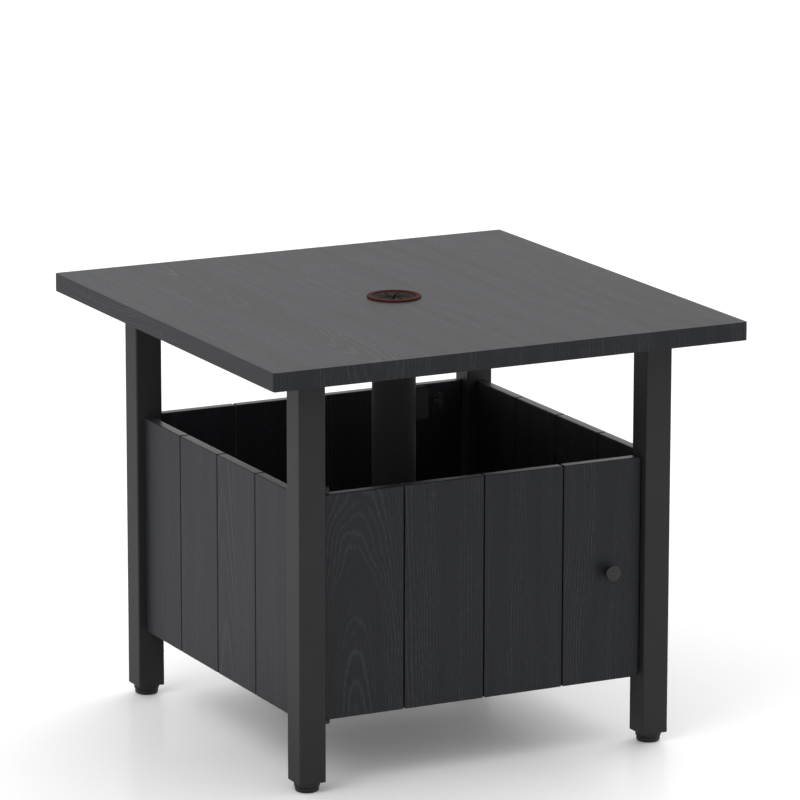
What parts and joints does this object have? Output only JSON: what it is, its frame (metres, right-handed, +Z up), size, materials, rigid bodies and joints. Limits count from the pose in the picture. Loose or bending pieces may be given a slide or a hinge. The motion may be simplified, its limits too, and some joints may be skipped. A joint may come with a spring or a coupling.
{
  "type": "umbrella side table",
  "caption": "Square outdoor side table with an umbrella hole, planked cabinet with swing door and adjustable feet.",
  "frame": {"origin": "on the floor, under the middle of the table", "axes": "+X along the door to its knob side, +Y from the door to the back, +Z up"},
  "size_m": [0.58, 0.586, 0.4942],
  "materials": {
    "board": "black laminate with embossed grain, satin",
    "steel_tube": "black powder coat, matte",
    "knob_metal": "black, satin",
    "foot_plastic": "matte",
    "black_plastic": "matte",
    "handle_plastic": "satin",
    "zinc": "zinc plated",
    "ring_plastic": "satin",
    "petal_rubber": "matte"
  },
  "bodies": {
    "frame": {"table_top": "board", "front_left_leg": "steel_tube", "front_right_leg": "steel_tube", "rear_left_leg": "steel_tube", "rear_right_leg": "steel_tube", "leg_plugs": "black_plastic", "front_top_rail": "steel_tube", "rear_top_rail": "steel_tube", "left_top_rail": "steel_tube", "right_top_rail": "steel_tube", "front_low_rail": "steel_tube", "rear_low_rail": "steel_tube", "left_low_rail": "steel_tube", "right_low_rail": "steel_tube", "rear_mid_rail": "steel_tube", "left_mid_rail": "steel_tube", "right_mid_rail": "steel_tube", "shelf_board": "board", "left_plank_1": "board", "left_plank_2": "board", "left_plank_3": "board", "left_plank_4": "board", "right_plank_1": "board", "right_plank_2": "board", "right_plank_3": "board", "right_plank_4": "board", "rear_plank_1": "board", "rear_plank_2": "board", "rear_plank_3": "board", "rear_plank_4": "board", "hinge_pins": "zinc", "catch_body": "black_plastic", "umbrella_tube": "steel_tube", "tube_head_flange": "steel_tube", "tube_foot_socket": "steel_tube", "clamp_block": "steel_tube", "frame_screws": "zinc", "plank_screws": "zinc"},
    "door": {"door_plank_1": "board", "door_plank_2": "board", "door_plank_3": "board", "door_plank_4": "board", "door_upper_batten": "board", "door_lower_batten": "board", "door_knob": "knob_metal", "door_screws": "zinc", "catch_strike": "zinc"},
    "ring": {"umbrella_ring": "ring_plastic", "petal_disc": "petal_rubber"},
    "clamp_slider": {"clamp_pad": "petal_rubber"},
    "clamp_turner": {"clamp_screw": "handle_plastic"},
    "front_left_foot_slider": {"front_left_foot_pad": "foot_plastic"},
    "front_left_foot_turner": {"front_left_foot_stem": "foot_plastic"},
    "front_right_foot_slider": {"front_right_foot_pad": "foot_plastic"},
    "front_right_foot_turner": {"front_right_foot_stem": "foot_plastic"},
    "rear_left_foot_slider": {"rear_left_foot_pad": "foot_plastic"},
    "rear_left_foot_turner": {"rear_left_foot_stem": "foot_plastic"},
    "rear_right_foot_slider": {"rear_right_foot_pad": "foot_plastic"},
    "rear_right_foot_turner": {"rear_right_foot_stem": "foot_plastic"}
  },
  "joints": [
    {"name": "door_hinge", "type": "hinge", "parent": "frame", "child": "door", "pos_m": [-0.1913, -0.2155, 0.2055], "axis": [0, 0, -1], "range_deg": [0, 94]},
    {"name": "ring_lift", "type": "slide", "parent": "frame", "child": "ring", "axis": [0, 0, 1], "range_m": [0, 0.6]},
    {"name": "clamp_travel", "type": "slide", "parent": "frame", "child": "clamp_slider", "axis": [-1, 0, 0], "range_m": [0, 0.008]},
    {"name": "clamp_turn", "type": "hinge", "parent": "clamp_slider", "child": "clamp_turner", "pos_m": [0.045, 0, 0.3665], "axis": [-1, 0, 0], "range_deg": [0, 2300]},
    {"name": "front_left_foot_travel", "type": "slide", "parent": "frame", "child": "front_left_foot_slider", "axis": [0, 0, -1], "range_m": [0, 0.012]},
    {"name": "front_left_foot_turn", "type": "hinge", "parent": "front_left_foot_slider", "child": "front_left_foot_turner", "pos_m": [-0.2145, -0.2145, 0.008], "axis": [0, 0, -1], "range_deg": [0, 3450]},
    {"name": "front_right_foot_travel", "type": "slide", "parent": "frame", "child": "front_right_foot_slider", "axis": [0, 0, -1], "range_m": [0, 0.012]},
    {"name": "front_right_foot_turn", "type": "hinge", "parent": "front_right_foot_slider", "child": "front_right_foot_turner", "pos_m": [0.2145, -0.2145, 0.008], "axis": [0, 0, -1], "range_deg": [0, 3450]},
    {"name": "rear_left_foot_travel", "type": "slide", "parent": "frame", "child": "rear_left_foot_slider", "axis": [0, 0, -1], "range_m": [0, 0.012]},
    {"name": "rear_left_foot_turn", "type": "hinge", "parent": "rear_left_foot_slider", "child": "rear_left_foot_turner", "pos_m": [-0.2145, 0.2145, 0.008], "axis": [0, 0, -1], "range_deg": [0, 3450]},
    {"name": "rear_right_foot_travel", "type": "slide", "parent": "frame", "child": "rear_right_foot_slider", "axis": [0, 0, -1], "range_m": [0, 0.012]},
    {"name": "rear_right_foot_turn", "type": "hinge", "parent": "rear_right_foot_slider", "child": "rear_right_foot_turner", "pos_m": [0.2145, 0.2145, 0.008], "axis": [0, 0, -1], "range_deg": [0, 3450]}
  ],
  "couplings": [
    {"joint": "clamp_travel", "follows": "clamp_turn", "m_per_rad": 0.00019894},
    {"joint": "front_left_foot_travel", "follows": "front_left_foot_turn", "m_per_rad": 0.00019894},
    {"joint": "front_right_foot_travel", "follows": "front_right_foot_turn", "m_per_rad": 0.00019894},
    {"joint": "rear_left_foot_travel", "follows": "rear_left_foot_turn", "m_per_rad": 0.00019894},
    {"joint": "rear_right_foot_travel", "follows": "rear_right_foot_turn", "m_per_rad": 0.00019894}
  ]
}
